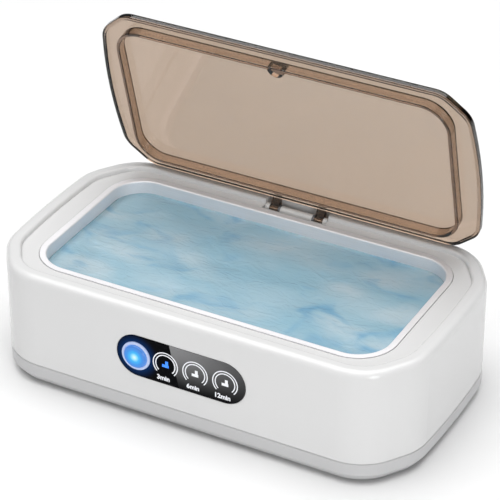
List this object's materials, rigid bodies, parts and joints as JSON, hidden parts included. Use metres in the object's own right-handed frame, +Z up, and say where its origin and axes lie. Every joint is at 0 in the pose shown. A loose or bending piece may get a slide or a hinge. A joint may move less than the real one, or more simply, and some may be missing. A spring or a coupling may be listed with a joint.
{
  "type": "ultrasonic cleaner",
  "caption": "Compact bench-top ultrasonic bath for jewellery with a tinted hinged lid, a drawn steel wash tank and a one-button timer panel on an octagonal two-part case.",
  "frame": {"origin": "centre of the resting plane under the feet, below the middle of the case", "axes": "+Z up, +X along the case's length towards its right end, +Y from the control panel towards the hinge at the rear"},
  "size_m": [0.2, 0.1136, 0.1408],
  "materials": {
    "white_housing": "gloss",
    "grey_base": "satin",
    "rubber": "matte",
    "steel_tank": "satin",
    "steel_screw": "satin",
    "silicone": "matte",
    "aluminium": "satin",
    "piezo_ceramic": "matte",
    "silver_print": "satin",
    "smoked_lid": "gloss",
    "hinge_nylon": "matte",
    "washer_pom": "matte",
    "black_window": "gloss",
    "white_print": "matte",
    "lit_blue": "gloss",
    "bezel_white": "gloss",
    "button_blue": "gloss",
    "board_green": "satin",
    "black_plastic": "satin",
    "chip_black": "matte",
    "led_white": "gloss",
    "ferrite": "matte",
    "winding": "satin",
    "capacitor_sleeve": "satin",
    "film_red": "satin",
    "brass": "satin",
    "header_white": "matte",
    "wire_black": "satin",
    "wire_red": "satin",
    "ribbon_grey": "satin"
  },
  "bodies": {
    "case": {"upper_housing": "white_housing", "base_tray": "grey_base", "rubber_feet": "rubber", "case_screws": "steel_screw", "wash_tank": "steel_tank", "tank_seal": "silicone", "piezo_coupler": "aluminium", "piezo_disc": "piezo_ceramic", "piezo_electrodes": "silver_print", "hinge_bracket": "hinge_nylon", "hinge_pin": "steel_screw", "hinge_friction_washers": "washer_pom", "hinge_screws": "steel_screw", "panel_window": "black_window", "button_bezel": "bezel_white", "dial_rings": "white_print", "lit_time_icon": "lit_blue", "unlit_time_icons": "white_print", "control_board": "board_green", "control_board_screws": "steel_screw", "switch_body": "black_plastic", "switch_dome": "steel_screw", "status_leds": "led_white", "control_chip": "chip_black", "driver_board": "board_green", "driver_board_screws": "steel_screw", "transformer_core": "ferrite", "transformer_winding": "winding", "heat_sink": "aluminium", "power_transistors": "chip_black", "electrolytic_capacitors": "capacitor_sleeve", "film_capacitors": "film_red", "chip_resistors": "chip_black", "driver_chip": "chip_black", "fuse": "brass", "fuse_clips": "brass", "wire_headers": "header_white", "inlet_housing": "black_plastic", "inlet_pins": "brass", "mains_leads": "wire_black", "piezo_leads": "wire_red", "panel_ribbon": "ribbon_grey"},
    "lid": {"lid": "smoked_lid"},
    "button": {"power_button": "button_blue"},
    "plunger": {"switch_plunger": "black_plastic"}
  },
  "joints": [
    {"name": "lid_hinge", "type": "hinge", "parent": "case", "child": "lid", "pos_m": [0, 0.04916, 0.05134], "axis": [-1, 0, 0], "range_deg": [-75.3, 14.7]},
    {"name": "power_button_press", "type": "slide", "parent": "case", "child": "button", "axis": [0, 1, 0], "range_m": [0, 0.0006], "stiffness_N_per_m": 900, "springref_m": -0.0012},
    {"name": "switch_plunger_press", "type": "slide", "parent": "case", "child": "plunger", "axis": [0, 1, 0], "range_m": [0, 0.0006]}
  ],
  "couplings": [
    {"joint": "switch_plunger_press", "follows": "power_button_press", "ratio": 1}
  ]
}
